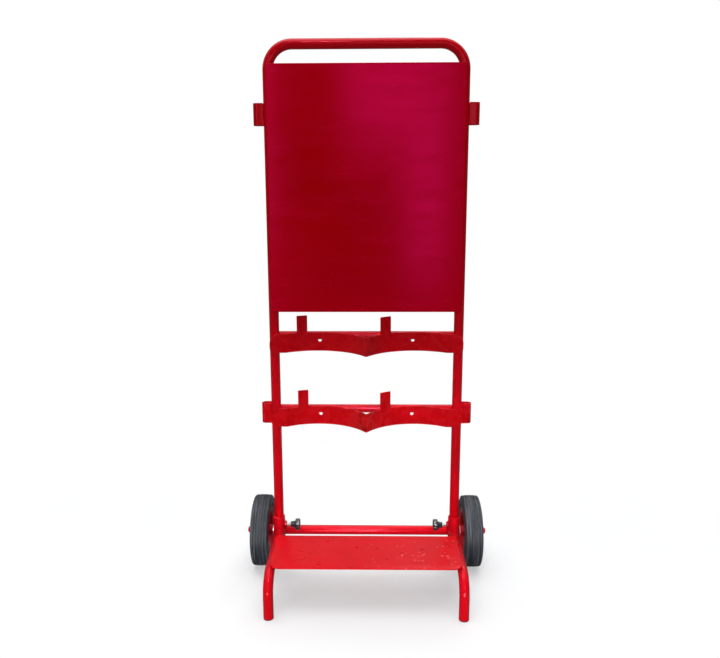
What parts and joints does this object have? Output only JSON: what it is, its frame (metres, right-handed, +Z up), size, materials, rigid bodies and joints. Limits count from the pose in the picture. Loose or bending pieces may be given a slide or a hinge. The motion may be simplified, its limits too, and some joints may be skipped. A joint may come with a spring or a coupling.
{
  "type": "hand truck",
  "caption": "Upright tube hand truck with a header board, paired curved cylinder cradles, a low tray and rear wheels.",
  "frame": {"origin": "centre of the bounding box on the floor", "axes": "+X to the truck's left-to-right as seen from the front, +Y to the back, +Z up"},
  "size_m": [0.6668, 0.3856, 1.4],
  "materials": {
    "red_powder_coat": "gloss powder coat, light orange peel",
    "board_red": "smooth gloss powder coat on flat sheet",
    "tyre_rubber": "ribbed solid rubber, slightly dusty",
    "black_plastic": "moulded, satin",
    "foot_plastic": "moulded insert, dull",
    "zinc_steel": "bright zinc plate",
    "white_nylon": "natural nylon"
  },
  "bodies": {
    "base": {"axle_rod": "zinc_steel", "axle_tube": "red_powder_coat", "left_axle_cap": "red_powder_coat", "left_clamp_boss": "red_powder_coat", "left_foot_cap": "foot_plastic", "left_inner_washer": "zinc_steel", "left_outer_washer": "zinc_steel", "left_side_rail": "red_powder_coat", "left_sleeve": "red_powder_coat", "right_axle_cap": "red_powder_coat", "right_clamp_boss": "red_powder_coat", "right_foot_cap": "foot_plastic", "right_inner_washer": "zinc_steel", "right_outer_washer": "zinc_steel", "right_side_rail": "red_powder_coat", "right_sleeve": "red_powder_coat", "tray": "red_powder_coat"},
    "upper_frame": {"upright_frame": "red_powder_coat", "header_board": "board_red", "upper_crossbar": "red_powder_coat", "lower_crossbar": "red_powder_coat", "upper_cradle": "red_powder_coat", "lower_cradle": "red_powder_coat", "left_lower_side_loop": "red_powder_coat", "left_upper_side_loop": "red_powder_coat", "right_lower_side_loop": "red_powder_coat", "right_upper_side_loop": "red_powder_coat"},
    "left_wheel": {"left_hub_tube": "red_powder_coat", "left_inner_bush": "white_nylon", "left_inner_rim": "red_powder_coat", "left_outer_bush": "white_nylon", "left_outer_rim": "red_powder_coat", "left_rim_rivet_1": "zinc_steel", "left_rim_rivet_2": "zinc_steel", "left_rim_rivet_3": "zinc_steel", "left_rim_rivet_4": "zinc_steel", "left_tyre": "tyre_rubber"},
    "right_wheel": {"right_hub_tube": "red_powder_coat", "right_inner_bush": "white_nylon", "right_inner_rim": "red_powder_coat", "right_outer_bush": "white_nylon", "right_outer_rim": "red_powder_coat", "right_rim_rivet_1": "zinc_steel", "right_rim_rivet_2": "zinc_steel", "right_rim_rivet_3": "zinc_steel", "right_rim_rivet_4": "zinc_steel", "right_tyre": "tyre_rubber"},
    "left_stud": {"left_clamp_stud": "zinc_steel"},
    "left_knob": {"left_clamp_knob": "black_plastic"},
    "right_stud": {"right_clamp_stud": "zinc_steel"},
    "right_knob": {"right_clamp_knob": "black_plastic"}
  },
  "joints": [
    {"name": "left_wheel_spin", "type": "hinge", "parent": "base", "child": "left_wheel", "pos_m": [-0.291, 0.09585, 0.097], "axis": [1, 0, 0], "continuous": true},
    {"name": "right_wheel_spin", "type": "hinge", "parent": "base", "child": "right_wheel", "pos_m": [0.291, 0.09585, 0.097], "axis": [1, 0, 0], "continuous": true},
    {"name": "frame_lift", "type": "slide", "parent": "base", "child": "upper_frame", "axis": [0, 0, 1], "range_m": [0, 0.075]},
    {"name": "left_stud_travel", "type": "slide", "parent": "base", "child": "left_stud", "axis": [1, 0, 0], "range_m": [0, 0.00375]},
    {"name": "left_knob_turn", "type": "hinge", "parent": "left_stud", "child": "left_knob", "pos_m": [-0.184, 0.06685, 0.128], "axis": [1, 0, 0], "range_deg": [0, 1080]},
    {"name": "right_stud_travel", "type": "slide", "parent": "base", "child": "right_stud", "axis": [-1, 0, 0], "range_m": [0, 0.00375]},
    {"name": "right_knob_turn", "type": "hinge", "parent": "right_stud", "child": "right_knob", "pos_m": [0.184, 0.06685, 0.128], "axis": [-1, 0, 0], "range_deg": [0, 1080]}
  ],
  "couplings": [
    {"joint": "left_knob_turn", "follows": "left_stud_travel", "rad_per_m": 5026.5},
    {"joint": "right_knob_turn", "follows": "right_stud_travel", "rad_per_m": 5026.5}
  ]
}
